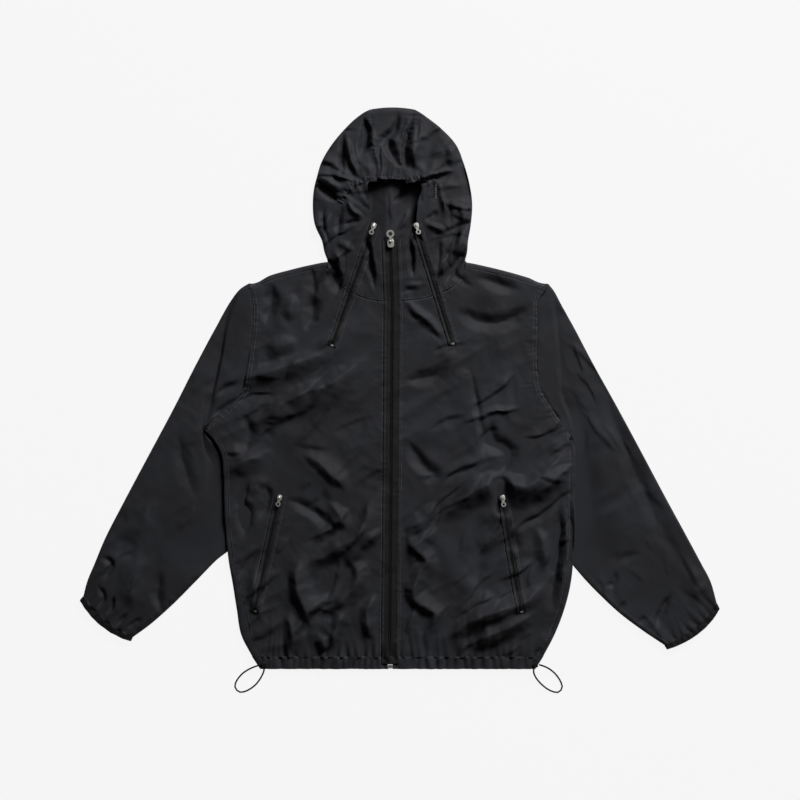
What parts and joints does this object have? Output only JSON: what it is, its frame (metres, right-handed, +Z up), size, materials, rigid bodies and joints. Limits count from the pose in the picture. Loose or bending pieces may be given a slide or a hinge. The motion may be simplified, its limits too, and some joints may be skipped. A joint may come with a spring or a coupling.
{
  "type": "windbreaker jacket",
  "caption": "Hooded zip-front windbreaker in thin black nylon, laid flat, with chest and pocket zips, elastic cuffs and drawcord loops at the hem.",
  "frame": {"origin": "middle of the jacket's box, on the surface it lies on, drawcord loops left out", "axes": "+Z up off the surface, +Y towards the hood, +X towards the wearer's left sleeve"},
  "size_m": [1.0648, 0.9757, 0.0267],
  "materials": {
    "shell_cloth": "thin black nylon with a low sheen",
    "elastic_binding": "matt black elastic",
    "zip_tape": "matt black woven tape and coil",
    "zip_metal": "bright nickel",
    "cord": "matt black braided elastic cord"
  },
  "bodies": {
    "jacket": {"back": "shell_cloth", "front_right": "shell_cloth", "front_left": "shell_cloth", "sleeve_right": "shell_cloth", "sleeve_left": "shell_cloth", "hood_side_right": "shell_cloth", "hood_side_left": "shell_cloth", "hood_centre": "shell_cloth", "chin_right": "shell_cloth", "chin_left": "shell_cloth", "hem_back": "shell_cloth", "hem_front_right": "shell_cloth", "hem_front_left": "shell_cloth", "face_casing": "elastic_binding", "cuff_right": "elastic_binding", "cuff_left": "elastic_binding", "cord_tab_right": "elastic_binding", "cord_tab_left": "elastic_binding", "centre_zip_tape": "zip_tape", "centre_zip_coil": "zip_tape", "neck_zip_right_tape": "zip_tape", "neck_zip_right_coil": "zip_tape", "neck_zip_left_tape": "zip_tape", "neck_zip_left_coil": "zip_tape", "pocket_zip_right_tape": "zip_tape", "pocket_zip_right_coil": "zip_tape", "pocket_zip_left_tape": "zip_tape", "pocket_zip_left_coil": "zip_tape", "centre_zip_slider": "zip_metal", "neck_zip_right_slider": "zip_metal", "neck_zip_left_slider": "zip_metal", "pocket_zip_right_slider": "zip_metal", "pocket_zip_left_slider": "zip_metal", "zip_stop": "zip_metal", "drawcord_right": "cord", "drawcord_left": "cord"},
    "centre_pull": {"centre_zip_pull": "zip_metal"},
    "neck_pull_right": {"neck_zip_right_pull": "zip_metal"},
    "neck_pull_left": {"neck_zip_left_pull": "zip_metal"},
    "pocket_pull_right": {"pocket_zip_right_pull": "zip_metal"},
    "pocket_pull_left": {"pocket_zip_left_pull": "zip_metal"}
  },
  "joints": [
    {"name": "centre_pull_flip", "type": "hinge", "parent": "jacket", "child": "centre_pull", "pos_m": [-0.01507, 0.24229, 0.0238], "axis": [0.9993, 0.0372, 0.0022], "range_deg": [0, 165]},
    {"name": "neck_pull_right_flip", "type": "hinge", "parent": "jacket", "child": "neck_pull_right", "pos_m": [-0.04305, 0.26786, 0.02447], "axis": [-0.9428, 0.3326, -0.0232], "range_deg": [0, 165]},
    {"name": "neck_pull_left_flip", "type": "hinge", "parent": "jacket", "child": "neck_pull_left", "pos_m": [0.02767, 0.26832, 0.02382], "axis": [-0.9531, -0.2998, 0.0414], "range_deg": [0, 165]},
    {"name": "pocket_pull_right_flip", "type": "hinge", "parent": "jacket", "child": "pocket_pull_right", "pos_m": [-0.19951, -0.18214, 0.01555], "axis": [-0.9772, 0.2121, 0], "range_deg": [0, 165]},
    {"name": "pocket_pull_left_flip", "type": "hinge", "parent": "jacket", "child": "pocket_pull_left", "pos_m": [0.17048, -0.18236, 0.01842], "axis": [-0.9846, -0.1673, -0.0506], "range_deg": [0, 165]}
  ]
}
